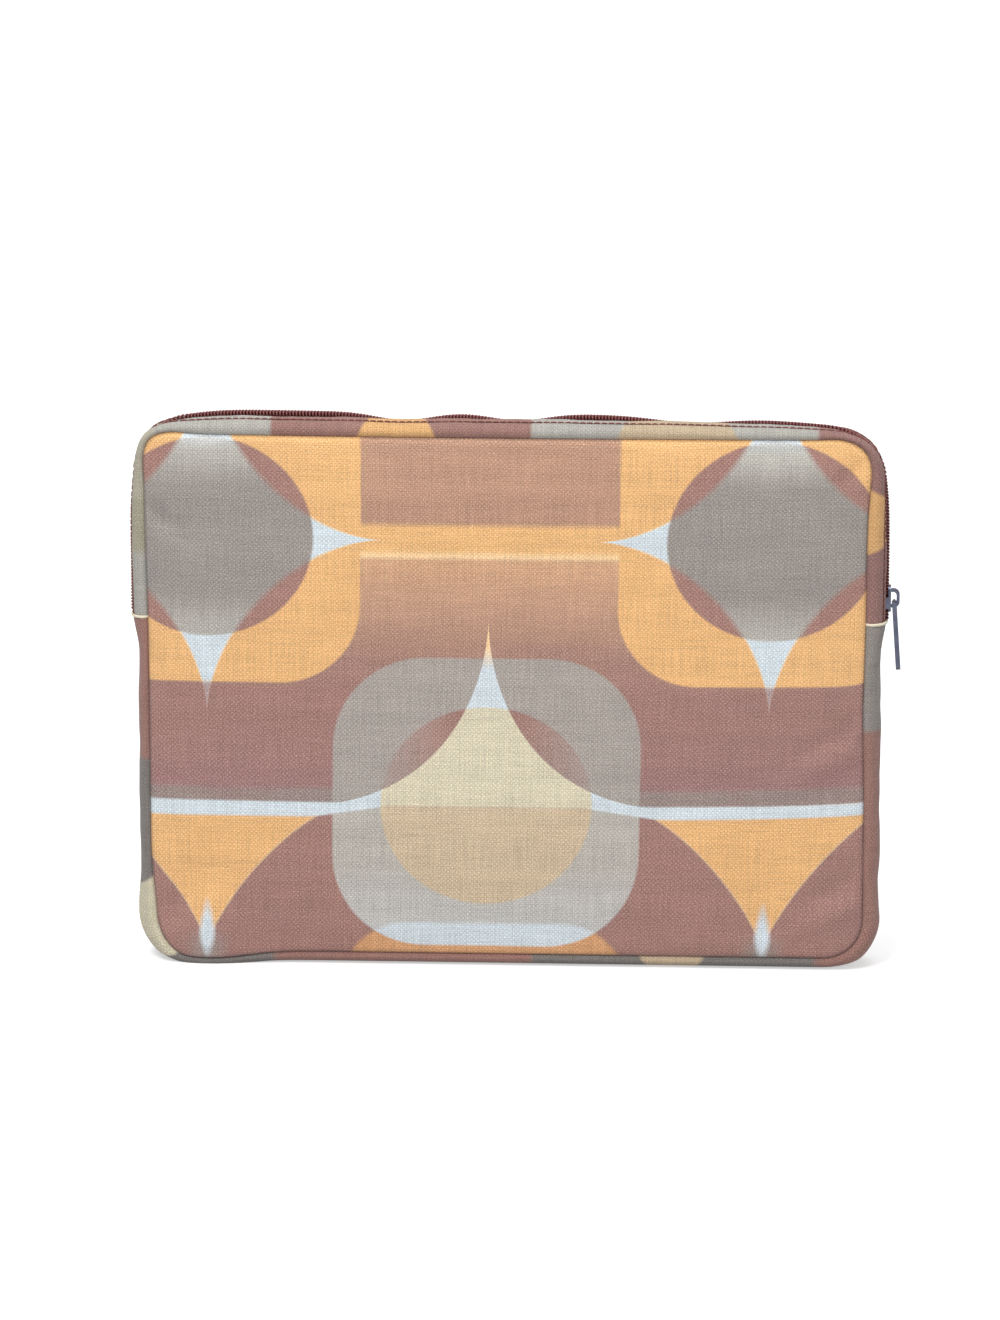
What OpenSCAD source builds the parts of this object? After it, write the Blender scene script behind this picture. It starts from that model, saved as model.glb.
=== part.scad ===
// Padded zip-around laptop sleeve, standing upright and closed.
// X runs across the width, Y from front (-Y) to back (+Y), Z up.
// The origin is the middle of the flat strip that the sleeve stands on.

/* [Panels] */
// Width of the front and back panels, seam to seam
panel_w = 320; // [300:1:400]
// Height of the front and back panels, seam to seam
panel_h = 237; // [225:1:300]
// Corner radius of the panels, at the seam
corner_r = 18; // [14:1:30]
// Outside depth, front face to back face
depth = 30; // [28:1:40]

/* [Layers] */
// Thickness of the printed outer canvas
canvas_t = 0.8; // [0.5:0.1:1]
// Thickness of the foam padding in the panels
foam_t = 3; // [1:0.5:3.5]
// Thickness of the lining cloth
lining_t = 0.5; // [0.3:0.1:0.6]

/* [Gusset] */
// How far the gusset stands out beyond the panel seam
gusset_r = 8; // [7.5:0.5:10]
// Width of the turned-under hem beside the zip
hem_w = 5; // [4:0.5:6]
// Height of the seams where the zip ends and the plain gusset begins
zip_end_z = 160; // [120:1:165]
// How far the rolled end seams stand out of the gusset
end_fold_t = 1.2; // [0.6:0.1:1.5]
// Height of the rolled end seams
end_fold_h = 1.4; // [1:0.1:3]
// Distance of the topstitching from the hem's edge
stitch_inset = 2; // [1.5:0.1:3]
// Diameter of the topstitching thread
thread_d = 0.5; // [0.3:0.1:0.7]
// Width of the bound seam allowance inside
binding_w = 5; // [4:0.5:6]
// Thickness of the bound seam allowance
binding_t = 1.9; // [1:0.1:2]

/* [Zip] */
// Thickness of the zip tape
tape_t = 0.6; // [0.4:0.1:0.7]
// Half-width of the whole zip, centre to tape edge
tape_reach = 11; // [10:0.5:12]
// Half-width of the closed coil
coil_reach = 3.2; // [2.6:0.1:3.4]
// Height of the coil
coil_h = 2.8; // [2:0.1:3]
// Length of the slider
slider_l = 11; // [9:0.5:13]
// Width of the slider
slider_w = 9.8; // [9:0.1:10]
// Thickness of the slider's plates
plate_t = 1.2; // [0.9:0.1:1.3]
// Length of the pull tab from its eye's bar
pull_l = 31; // [20:1:40]
// Width of the pull tab at its free end
pull_w = 7; // [5.4:0.1:9]
// Thickness of the pull tab
pull_t = 2.1; // [1.2:0.1:2.1]
// Outward lean of the hanging pull tab, in degrees
pull_lean = 4; // [0:1:12]

/* [Opening] */
// Height of the front panel's fold line above the end seams
fold_above_end = 18; // [17:1:30]

/* [Hidden] */
$fn = 48;

orange_print = [0.90, 0.66, 0.40];
brown_print = [0.60, 0.44, 0.40];
greige_print = [0.66, 0.62, 0.57];
lining_grey = [0.45, 0.41, 0.40];
foam_white = [0.90, 0.89, 0.86];
zip_maroon = [0.36, 0.18, 0.17];
thread_brown = [0.47, 0.24, 0.20];
edge_cream = [0.88, 0.85, 0.78];
metal = [0.70, 0.71, 0.73];

// Slack between sewn layers, and at the fold and end seams
gap = 0.05;
// Running room round the slider and the pull tab
slack = 0.3;

seam_bottom = gusset_r;
seam_top = seam_bottom + panel_h;
leg_bottom = seam_bottom + corner_r;
leg_top = seam_top - corner_r;
leg_x = panel_w / 2;
corner_x = leg_x - corner_r;
face_y = depth / 2;
// The gusset section is a flat strip between two round shoulders
flat_y = face_y - canvas_t - gusset_r;
shoulder_y = flat_y + gusset_r;
fold_z = zip_end_z + fold_above_end;

foam_y = face_y - canvas_t - gap;
lining_y = foam_y - foam_t - gap;
binding_y = lining_y - lining_t - gap;
binding_edge = 1;

// Heights above the seam line, outward through the zip's layers
tape_out = gusset_r - 2 * canvas_t - gap;
tape_in = tape_out - tape_t;
coil_in = tape_out + gap;
coil_out = coil_in + coil_h;
coil_part = 0.6;
hem_y = slider_w / 2 + slack;
band_lining_out = tape_in - gap;
band_lining_y = flat_y + 0.8;

plate_in = coil_out + slack;
plate_out = plate_in + plate_t;
under_plate_out = tape_in - slack;
flange_t = 1;
post_w = 2 * coil_part - 0.2;
slider_z = zip_end_z + 9;

bridge_w = 2;
bridge_l = 8.5;
bridge_h = 3.8;
bridge_t = 1.4;
bar_d = 1.4;
bar_h = 1.4;
bar_z = slider_z - 1.8;
eye_w = bridge_w + 2 * slack;
eye_l = 5.5;
yoke_w = 5.4;

// ---- sections across the gusset: X is outward from the seam line, Y is depth ----

module stadium(r) {
    for (side = [-1, 1]) translate([0, side * flat_y]) circle(r);
    translate([-r, -flat_y]) square([2 * r, 2 * flat_y]);
}

// The part of a shell between radii r_in and r_out that lies from y_from to y_to
module shell(r_in, r_out, y_from, y_to) {
    intersection() {
        difference() {
            stadium(r_out);
            stadium(r_in);
        }
        translate([0, y_from]) square([r_out + 1, y_to - y_from]);
    }
}

// Canvas beside the zip, doubled at the hem; side is -1 for the front, 1 for the back
module band_section(side) {
    mirror([0, side < 0 ? 1 : 0]) {
        shell(gusset_r - canvas_t, gusset_r, hem_y, shoulder_y);
        shell(gusset_r - 2 * canvas_t, gusset_r - canvas_t, hem_y, hem_y + hem_w);
    }
}

module band_lining_section(side) {
    mirror([0, side < 0 ? 1 : 0])
        shell(band_lining_out - lining_t, band_lining_out, band_lining_y, shoulder_y);
}

module tape_section(side) {
    mirror([0, side < 0 ? 1 : 0]) shell(tape_in, tape_out, coil_part, tape_reach);
}

module coil_section(side) {
    mirror([0, side < 0 ? 1 : 0])
        translate([coil_in, coil_part]) square([coil_h, coil_reach - coil_part]);
}

module topstitch_section(side) {
    reach = gusset_r + thread_d / 2 + gap;
    lean = asin((hem_y + stitch_inset - flat_y) / gusset_r);
    mirror([0, side < 0 ? 1 : 0])
        translate([reach * cos(lean), flat_y + reach * sin(lean)]) circle(thread_d / 2);
}

module binding_section(side) {
    mirror([0, side < 0 ? 1 : 0])
        translate([-binding_edge - binding_w, binding_y - binding_t])
            square([binding_w, binding_t]);
}

// ---- a section carried round the sleeve's outline ----

module right_leg(z_from, z_to) {
    translate([leg_x, 0, z_from]) linear_extrude(z_to - z_from) children();
}

module right_corner(top) {
    translate([corner_x, 0, top ? leg_top : leg_bottom])
        rotate([-90, 0, 0]) rotate([0, 0, top ? -90 : 0])
            rotate_extrude(angle = 90) translate([corner_r, 0]) children();
}

module both_sides() {
    children();
    mirror([1, 0, 0]) children();
}

// Up one side from z_from, over the top and down the other side
module arch(z_from) {
    both_sides() {
        right_leg(z_from, leg_top) children();
        right_corner(true) children();
    }
    translate([corner_x, 0, seam_top]) rotate([0, -90, 0])
        linear_extrude(2 * corner_x) children();
}

// Down one side from z_to, under the bottom and up the other side
module cradle(z_to) {
    both_sides() {
        right_leg(leg_bottom, z_to) children();
        right_corner(false) children();
    }
    translate([-corner_x, 0, seam_bottom]) rotate([0, 90, 0])
        linear_extrude(2 * corner_x) children();
}

// Two short straight stretches, one on each side
module legs(z_from, z_to) {
    both_sides() right_leg(z_from, z_to) children();
}

// ---- flat panel layers ----

module outline(inset) {
    r = corner_r - inset;
    for (x = [-corner_x, corner_x], z = [leg_bottom, leg_top])
        translate([x, z]) circle(r);
    translate([-corner_x, seam_bottom + inset])
        square([2 * corner_x, panel_h - 2 * inset]);
    translate([-leg_x + inset, leg_bottom])
        square([panel_w - 2 * inset, leg_top - leg_bottom]);
}

// A layer whose outer face is y_out from the middle plane, on one side of it
module layer(side, y_out, thickness, inset) {
    y_low = side < 0 ? -y_out : y_out - thickness;
    translate([0, y_low + thickness, 0]) rotate([90, 0, 0])
        linear_extrude(thickness) outline(inset);
}

module above_fold() {
    intersection() {
        children();
        translate([-panel_w, -depth, fold_z + gap]) cube([2 * panel_w, depth, panel_h]);
    }
}

module below_fold() {
    intersection() {
        children();
        translate([-panel_w, -depth, fold_z - gap - panel_h])
            cube([2 * panel_w, depth, panel_h]);
    }
}

module canvas_layer(side) layer(side, face_y, canvas_t, gap);
module foam_layer(side) layer(side, foam_y, foam_t, 2 * gap);
module lining_layer(side) layer(side, lining_y, lining_t, 2 * gap);

module back_panel() { color(brown_print) canvas_layer(1); }
module back_foam() { color(foam_white) foam_layer(1); }
module back_lining() { color(lining_grey) lining_layer(1); }
module front_panel_lower() { color(brown_print) below_fold() canvas_layer(-1); }
module front_foam_lower() { color(foam_white) below_fold() foam_layer(-1); }
module front_lining_lower() { color(lining_grey) below_fold() lining_layer(-1); }
module front_panel_flap() { color(orange_print) above_fold() canvas_layer(-1); }
module front_foam_flap() { color(foam_white) above_fold() foam_layer(-1); }
module front_lining_flap() { color(lining_grey) above_fold() lining_layer(-1); }

// ---- gusset ----

module bottom_band() {
    color(brown_print) cradle(zip_end_z - gap)
        shell(gusset_r - canvas_t, gusset_r, -shoulder_y, shoulder_y);
}

module bottom_band_lining() {
    out = gusset_r - canvas_t - gap;
    color(lining_grey) cradle(zip_end_z - gap)
        shell(out - lining_t, out, -shoulder_y, shoulder_y);
}

module end_seam() {
    out = gusset_r + gap + end_fold_t;
    color(edge_cream) right_leg(zip_end_z - gap - end_fold_h, zip_end_z - gap)
        shell(gusset_r + gap, out, -shoulder_y, shoulder_y);
}
module end_seam_right() end_seam();
module end_seam_left() mirror([1, 0, 0]) end_seam();

module zip_band_back() {
    color(greige_print) arch(zip_end_z + gap) band_section(1);
}
module zip_band_back_lining() {
    color(lining_grey) arch(zip_end_z + gap) band_lining_section(1);
}
module zip_tape_back() { color(zip_maroon) arch(zip_end_z + gap) tape_section(1); }
module zip_coil_back() { color(zip_maroon) arch(zip_end_z + gap) coil_section(1); }
module topstitch_back() { color(thread_brown) arch(zip_end_z + gap) topstitch_section(1); }
module seam_binding_back() {
    color(lining_grey) union() {
        arch(zip_end_z) binding_section(1);
        cradle(zip_end_z) binding_section(1);
    }
}

module front_stub() legs(zip_end_z + gap, fold_z - gap) children();

module zip_band_front_lower() { color(greige_print) front_stub() band_section(-1); }
module zip_band_front_lining_lower() {
    color(lining_grey) front_stub() band_lining_section(-1);
}
module zip_tape_front_lower() { color(zip_maroon) front_stub() tape_section(-1); }
module zip_coil_front_lower() { color(zip_maroon) front_stub() coil_section(-1); }
module topstitch_front_lower() { color(thread_brown) front_stub() topstitch_section(-1); }
module seam_binding_front_lower() {
    color(lining_grey) cradle(fold_z - gap) binding_section(-1);
}

module zip_band_front() { color(greige_print) arch(fold_z + gap) band_section(-1); }
module zip_band_front_lining() {
    color(lining_grey) arch(fold_z + gap) band_lining_section(-1);
}
module zip_tape_front() { color(zip_maroon) arch(fold_z + gap) tape_section(-1); }
module zip_coil_front() { color(zip_maroon) arch(fold_z + gap) coil_section(-1); }
module topstitch_front() { color(thread_brown) arch(fold_z + gap) topstitch_section(-1); }
module seam_binding_front() { color(lining_grey) arch(fold_z + gap) binding_section(-1); }

// ---- slider and pull tab, on the right-hand side ----

// Carries a drawing of Y across and Z up, thickened outward from x_from to x_to
module facing_right(x_from, x_to, z) {
    translate([leg_x + x_from, 0, z]) rotate([90, 0, 90])
        linear_extrude(x_to - x_from) children();
}

// Plan of the slider: full width at its lower nose, narrower at its upper tail
module slider_plan() {
    w = slider_w / 2;
    l = slider_l / 2;
    tail = 0.72 * w;
    polygon([
        [-w + 1.2, -l], [w - 1.2, -l], [w, -l + 1.5], [w, 0.2 * l], [tail, l - 0.8],
        [tail - 0.8, l], [-tail + 0.8, l], [-tail, l - 0.8], [-w, 0.2 * l], [-w, -l + 1.5]
    ]);
}

module slider_body() {
    color(metal) union() {
        facing_right(plate_in, plate_out, slider_z) slider_plan();
        facing_right(under_plate_out - plate_t, under_plate_out, slider_z) slider_plan();
        // Flanges that keep the coil in line, above the tape
        facing_right(tape_out + slack, plate_in, slider_z)
            for (side = [-1, 1]) mirror([side < 0 ? 1 : 0, 0])
                translate([slider_w / 2 - flange_t, -slider_l / 2 + 1.5])
                    square([flange_t, 0.6 * slider_l - 1.5]);
        // Post that joins the two plates and parts the coil
        facing_right(under_plate_out, plate_in, slider_z)
            translate([-post_w / 2, -slider_l / 2]) square([post_w, slider_l / 2]);
    }
}

// Outline of an arch: a rectangle whose two outer corners are rounded
module arch_outline(l, h, r) {
    intersection() {
        union() {
            for (z = [-l / 2 + r, l / 2 - r]) translate([h - r, z]) circle(r);
            translate([0, -l / 2]) square([h - r, l]);
            translate([0, -l / 2 + r]) square([h, l - 2 * r]);
        }
        translate([0, -l / 2]) square([h, l]);
    }
}

module slider_bridge() {
    color(metal) translate([leg_x + plate_out + gap, bridge_w / 2, slider_z])
        rotate([90, 0, 0]) linear_extrude(bridge_w) difference() {
            arch_outline(bridge_l, bridge_h, 2.6);
            translate([-1, 0])
                arch_outline(bridge_l - 2 * bridge_t, bridge_h - bridge_t + 1, 1.6);
        }
}

// Plan of the tab: yoke with a square eye, then a blade that widens to a round end
module pull_plan() {
    r = pull_w / 2;
    difference() {
        union() {
            translate([0, -pull_l + r]) circle(r);
            polygon([
                [-yoke_w / 2, 0], [-yoke_w / 2, -eye_l - 1.5], [-r, -pull_l + r],
                [r, -pull_l + r], [yoke_w / 2, -eye_l - 1.5], [yoke_w / 2, 0]
            ]);
        }
        translate([-eye_w / 2, -eye_l]) square([eye_w, eye_l + 1]);
    }
}

module pull_tab() {
    color(metal) translate([leg_x + plate_out + gap + bar_h, 0, bar_z])
        rotate([0, -pull_lean, 0]) union() {
            translate([-pull_t / 2, 0, 0]) rotate([90, 0, 90])
                linear_extrude(pull_t) pull_plan();
            translate([0, yoke_w / 2, 0]) rotate([90, 0, 0]) cylinder(d = bar_d, h = yoke_w);
        }
}

back_panel();
back_foam();
back_lining();
front_panel_lower();
front_foam_lower();
front_lining_lower();
front_panel_flap();
front_foam_flap();
front_lining_flap();
bottom_band();
bottom_band_lining();
end_seam_left();
end_seam_right();
zip_band_back();
zip_band_back_lining();
zip_tape_back();
zip_coil_back();
topstitch_back();
seam_binding_back();
zip_band_front_lower();
zip_band_front_lining_lower();
zip_tape_front_lower();
zip_coil_front_lower();
topstitch_front_lower();
seam_binding_front_lower();
zip_band_front();
zip_band_front_lining();
zip_tape_front();
zip_coil_front();
topstitch_front();
seam_binding_front();
slider_body();
slider_bridge();
pull_tab();
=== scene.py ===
"""Zip-around laptop sleeve in printed canvas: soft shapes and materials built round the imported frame.

Metres, +Z up, front faces -Y. Section drawings and print sizes are in millimetres.
"""

import math

import bpy
import numpy as np
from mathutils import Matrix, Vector


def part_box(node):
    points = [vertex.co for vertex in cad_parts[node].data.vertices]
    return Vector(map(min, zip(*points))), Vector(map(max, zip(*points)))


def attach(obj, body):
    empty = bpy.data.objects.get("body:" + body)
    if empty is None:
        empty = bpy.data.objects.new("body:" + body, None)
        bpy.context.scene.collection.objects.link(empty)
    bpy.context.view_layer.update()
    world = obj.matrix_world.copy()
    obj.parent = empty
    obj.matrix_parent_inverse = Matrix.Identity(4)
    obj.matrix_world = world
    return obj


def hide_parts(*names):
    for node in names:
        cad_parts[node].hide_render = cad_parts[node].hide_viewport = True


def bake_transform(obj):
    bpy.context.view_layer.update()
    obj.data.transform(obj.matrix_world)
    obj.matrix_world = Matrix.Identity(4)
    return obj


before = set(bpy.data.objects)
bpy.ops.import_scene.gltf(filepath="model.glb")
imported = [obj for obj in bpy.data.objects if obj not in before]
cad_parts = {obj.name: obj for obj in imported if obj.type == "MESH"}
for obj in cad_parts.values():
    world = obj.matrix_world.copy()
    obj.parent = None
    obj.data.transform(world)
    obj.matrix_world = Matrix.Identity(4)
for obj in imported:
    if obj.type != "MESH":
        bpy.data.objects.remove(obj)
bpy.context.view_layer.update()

MM = 0.001
SLEEVE, FLAP = "sleeve", "front_flap"

# ---------- places taken from the frame

panel_low, panel_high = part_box("back_panel")
HALF_W = panel_high.x
SEAM_LOW, SEAM_TOP = panel_low.z, panel_high.z
HALF_H = (SEAM_TOP - SEAM_LOW) / 2
MID_Z = (SEAM_TOP + SEAM_LOW) / 2
CORNER = 18 * MM
ZIP_END_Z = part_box("end_seam_right")[1].z

# ---------- the seam outline

CORNER_POINTS = 25


def arc_length(points):
    """Distance run along a line of points, at each of them."""
    return np.concatenate([[0], np.cumsum(np.linalg.norm(np.diff(points, axis=0), axis=1))])


def seam_outline():
    """Arc length, position and outward normal along the panel seam, from the bottom centre towards +X."""
    points, normals = [(0.0, SEAM_LOW)], [(0.0, -1.0)]
    for side_x, side_z, first in ((1, -1, -90), (1, 1, 0), (-1, 1, 90), (-1, -1, 180)):
        centre = np.array([side_x * (HALF_W - CORNER), MID_Z + side_z * (HALF_H - CORNER)])
        for angle in np.radians(np.linspace(first, first + 90, CORNER_POINTS)):
            out = np.array([math.cos(angle), math.sin(angle)])
            points.append(centre + CORNER * out)
            normals.append(out)
    points.append((0.0, SEAM_LOW))
    normals.append((0.0, -1.0))
    return arc_length(points), np.array(points), np.array(normals)


ARC, ARC_POINTS, ARC_NORMALS = seam_outline()
LOOP = ARC[-1]
TOP_S = LOOP / 2


def on_outline(s):
    """Seam position (x, z) and outward normal (x, z) at arc length s."""
    s = np.mod(s, LOOP)
    place = [np.interp(s, ARC, ARC_POINTS[:, i]) for i in (0, 1)]
    out = [np.interp(s, ARC, ARC_NORMALS[:, i]) for i in (0, 1)]
    return (*place, *out)


def right_s(z):
    """Arc length of the point at height z on the straight right-hand side."""
    return HALF_W - CORNER + math.pi / 2 * CORNER + z - (SEAM_LOW + CORNER)


RIGHT_END_S = right_s(ZIP_END_Z)
LEFT_END_S = LOOP - RIGHT_END_S
LEG_TOP_RUN = right_s(SEAM_TOP - CORNER)


def smooth(value, low, high):
    """0 below low, 1 above high, eased between."""
    t = np.clip((value - low) / (high - low), 0, 1)
    return t * t * (3 - 2 * t)


def bump_at(value, centre, width):
    return np.exp(-(((value - centre) / width) ** 2))


def ripple(s, waves):
    """A sum of sine waves along the seam: each is (height, length, phase), in mm and turns."""
    return sum(h * MM * np.sin(2 * math.pi * (s / (length * MM) + phase)) for h, length, phase in waves)


# ---------- how the soft body is shaped

SEAM_Y = 10.9 * MM
LIP, LIP_REACH = 2.4 * MM, 0.9 * MM
CROWN, CROWN_REACH = 3.7 * MM, 22 * MM


def side_of_loop(s):
    """1 on the right half of the loop and -1 on the left."""
    return np.where(np.mod(s, LOOP) < TOP_S, 1.0, -1.0)


def from_bottom(s):
    """Arc length from the bottom centre, the shorter way round."""
    s = np.mod(s, LOOP)
    return np.minimum(s, LOOP - s)


def band_fullness(s):
    """How full the gusset is along the seam: 1 is as full as the CAD section."""
    run = from_bottom(s)
    right = side_of_loop(s) > 0
    zip_part = smooth(run, RIGHT_END_S - 16 * MM, RIGHT_END_S + 2 * MM)
    side_part = smooth(run, HALF_W - CORNER, HALF_W + 30 * MM)
    top_part = smooth(run, LEG_TOP_RUN, LEG_TOP_RUN + 26 * MM)
    plain = 1 - side_part * np.where(right, 0.15, 0.34)
    leg = np.where(right, 1.07, 0.92)
    across = np.clip((TOP_S - np.mod(s, LOOP)) / HALF_W, -1, 1)
    top = 0.93 + 0.03 * across ** 2 - 0.24 * smooth(across, 0.1, 0.85)
    top = top - 0.12 * bump_at(across, -0.29, 0.10) - 0.06 * bump_at(across, 0.03, 0.10)
    zipped = leg * (1 - top_part) + top * top_part
    pinched = bump_at(run, LEG_TOP_RUN + 14 * MM, 20 * MM) * np.where(right, 0.30, 0.36)
    slump = ripple(s, [(0.10, 61, 0.1), (0.06, 37, 0.6)]) / (8 * MM)
    below_end = 0.09 * bump_at(run, RIGHT_END_S - 22 * MM, 9 * MM)
    lower = plain + (slump - below_end) * side_part
    return lower * (1 - zip_part) + (zipped - pinched) * zip_part


# Where the front hem covers the coil: (place along the top from its middle, width, depth 0 to 1), in mm.
HIDDEN_STRETCHES = [(-46, 17, 1.0), (5, 17, 1.0), (82, 22, 1.0)]


def hem_lift(s):
    """0 to 1: how far the coil has sunk behind the front hem, in three places along the top."""
    along = TOP_S - np.mod(s, LOOP)
    return np.clip(sum(h * bump_at(along, x * MM, w * MM) for x, w, h in HIDDEN_STRETCHES), 0, 1)


COIL_STANDS, COIL_SINKS, COIL_TUCK = 0.5 * MM, 2.9 * MM, 0.9 * MM


def coil_rise(s):
    """How far the coil stands out beyond its CAD place.

    It stands a little along the top, sinks in three places there, and tucks in before the right corner.
    """
    top = smooth(from_bottom(s), LEG_TOP_RUN + 20 * MM, LEG_TOP_RUN + 60 * MM)
    tucked = COIL_TUCK * bump_at(TOP_S - np.mod(s, LOOP), 132 * MM, 20 * MM)
    return top * (COIL_STANDS - COIL_SINKS * hem_lift(s)) - tucked


# Where the seams were sewn off their line: (x, z) of each place, its (x, y, z) shift and the radius, in mm.
SEAM_PULLS = [
    ((-154, 240), (-2.9, 0, 2.6), 11), ((154, 238), (1.5, 0, 1.4), 12), ((160, 232), (1.4, 0, 0), 22),
    ((-160, 215), (-1.2, 0, 0), 45), ((-134, 8), (0, 3.0, -3.8), 22), ((-158, 24), (2.4, 0, 0), 18),
    ((160, 118), (-0.8, 0, 0), 26)]


def pull_seams(points):
    """Shifts the panels and the gusset beside them; the gusset's crest, between the panels, stays put."""
    x, y, z = points[..., 0], points[..., 1], points[..., 2]
    near_panel = smooth(np.abs(y), 5.5 * MM, 10.5 * MM)
    out = points.copy()
    for (at_x, at_z), (dx, dy, dz), radius in SEAM_PULLS:
        weight = near_panel * bump_at(np.hypot(x - at_x * MM, z - at_z * MM), 0, radius * MM) * MM
        out[..., 0] += weight * dx
        out[..., 1] += weight * dy * np.sign(y)
        out[..., 2] += weight * dz
    return out


SAG, MORE_SAG, PRESS, LOWEST = 2.4, 0.7, 2.6 * MM, 0.1 * MM


def settle(points):
    """The slump: the top sags, most between its corners, and the weight presses the bottom flat."""
    points = pull_seams(points)
    x, z = points[..., 0], points[..., 2]
    across = np.clip(1 - (x / HALF_W) ** 2, 0, 1)
    sag = (SAG + MORE_SAG * across) * MM * smooth(z, 110 * MM, SEAM_TOP)
    press = PRESS * smooth(z, -1 * MM, SEAM_LOW) * (1 - smooth(z, SEAM_LOW + 2 * MM, 120 * MM))
    out = points.copy()
    out[..., 2] = np.maximum(z - sag - press, LOWEST)
    return out


BACK_TILT = 0.2


def on_gusset(s, r, y):
    """Settled points of the gusset at arc length s, r out from the seam line and y deep.

    Along the top the back half lies a little lower than the front.
    """
    x, z, out_x, out_z = on_outline(s)
    top = smooth(from_bottom(s), LEG_TOP_RUN - 15 * MM, LEG_TOP_RUN + 25 * MM)
    tilt = BACK_TILT * np.clip(y, 0, None) * smooth(r, 2 * MM, 6 * MM) * top
    reach = np.where(r > 0, r * band_fullness(s), r) - tilt
    return settle(np.stack([x + reach * out_x, y + 0 * x, z + reach * out_z], axis=-1))


def smooth_line(points, count):
    """A smooth line through drawn points, sampled evenly: a section drawing becomes a curve."""
    p = np.array(points, float)
    p = np.vstack([2 * p[0] - p[1], p, 2 * p[-1] - p[-2]])
    dense = []
    for a, b, c, d in zip(p[:-3], p[1:-2], p[2:-1], p[3:]):
        for t in np.linspace(0, 1, 12, endpoint=False):
            dense.append(0.5 * (2 * b + (c - a) * t + (2 * a - 5 * b + 4 * c - d) * t * t
                                + (3 * b - a - 3 * c + d) * t ** 3))
    dense = np.array(dense + [p[-2]])
    run = arc_length(dense)
    even = np.linspace(0, run[-1], count)
    return np.stack([np.interp(even, run, dense[:, i]) for i in range(p.shape[1])], axis=1)


# ---------- mesh builders


def new_object(name, verts, faces, uvs=None, shade_smooth=True, edge_gap=None):
    """A mesh object. Per vertex, uvs is (u, v) in metres of cloth and edge_gap the distance from a seam."""
    mesh = bpy.data.meshes.new(name)
    mesh.from_pydata([tuple(v) for v in verts], [], faces)
    if uvs is not None:
        layer = mesh.uv_layers.new(name="cloth")
        loops = np.empty(len(mesh.loops), np.int32)
        mesh.loops.foreach_get("vertex_index", loops)
        layer.data.foreach_set("uv", np.asarray(uvs, np.float32)[loops].ravel())
    if edge_gap is not None:
        gap = mesh.attributes.new("edge_gap", "FLOAT", "POINT")
        gap.data.foreach_set("value", np.asarray(edge_gap, np.float32))
    mesh.polygons.foreach_set("use_smooth", [shade_smooth] * len(mesh.polygons))
    mesh.update()
    obj = bpy.data.objects.new(name, mesh)
    bpy.context.scene.collection.objects.link(obj)
    return obj


def grid_normals(grid):
    """Unit normals of a grid of points, from its rows and columns."""
    along = np.gradient(grid, axis=0)
    across = np.gradient(grid, axis=1)
    normal = np.cross(along, across)
    return normal / np.maximum(np.linalg.norm(normal, axis=2, keepdims=True), 1e-12)


def grid_faces(rows, cols, start, flip):
    """Quads of a grid whose vertices begin at start."""
    faces = []
    for i in range(rows - 1):
        a, b = start + i * cols, start + (i + 1) * cols
        for j in range(cols - 1):
            quad = (a + j, a + j + 1, b + j + 1, b + j)
            faces.append(quad[::-1] if flip else quad)
    return faces


def sheet(name, grid, uv, thickness, inward, edge_gap=None):
    """A closed sheet of cloth: an outer face through grid, an inner face behind it, and a rim.

    inward is a rough direction, per point or for all, that the thickness goes towards.
    """
    normal = grid_normals(grid)
    if np.mean(np.sum(normal * inward, axis=2)) < 0:
        normal = -normal
    turned = np.cross(np.gradient(grid, axis=0), np.gradient(grid, axis=1))
    flip = np.mean(np.sum(turned * inward, axis=2)) < 0
    rows, cols = grid.shape[:2]
    under = grid + normal * thickness
    verts = np.concatenate([grid.reshape(-1, 3), under.reshape(-1, 3)])
    size = rows * cols
    faces = grid_faces(rows, cols, 0, flip) + grid_faces(rows, cols, size, not flip)
    last = (rows - 1) * cols
    rim = [(i * cols, (i + 1) * cols) for i in range(rows - 1)]
    rim += [((i + 2) * cols - 1, (i + 1) * cols - 1) for i in range(rows - 1)]
    rim += [(j + 1, j) for j in range(cols - 1)]
    rim += [(last + j, last + j + 1) for j in range(cols - 1)]
    for a, b in rim:
        quad = (a, b, b + size, a + size)
        faces.append(quad[::-1] if flip else quad)
    flat = np.asarray(uv).reshape(-1, 2)
    gap = None if edge_gap is None else np.tile(edge_gap.ravel(), 2)
    return new_object(name, verts, faces, np.concatenate([flat, flat]), edge_gap=gap)


def tube(name, sections, uvs=None):
    """n closed tubes in one mesh: sections is (n, k, m, 3), k rings of m points for each."""
    n, k, m = sections.shape[:3]
    verts = sections.reshape(-1, 3)
    ring = [[(i * m + j, i * m + (j + 1) % m, (i + 1) * m + (j + 1) % m, (i + 1) * m + j) for j in range(m)]
            for i in range(k - 1)]
    one = [quad for row in ring for quad in row]
    one += [tuple(range(m))[::-1], tuple((k - 1) * m + j for j in range(m))]
    faces = [tuple(v + t * k * m for v in face) for t in range(n) for face in one]
    return new_object(name, verts, faces, uvs)


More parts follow.
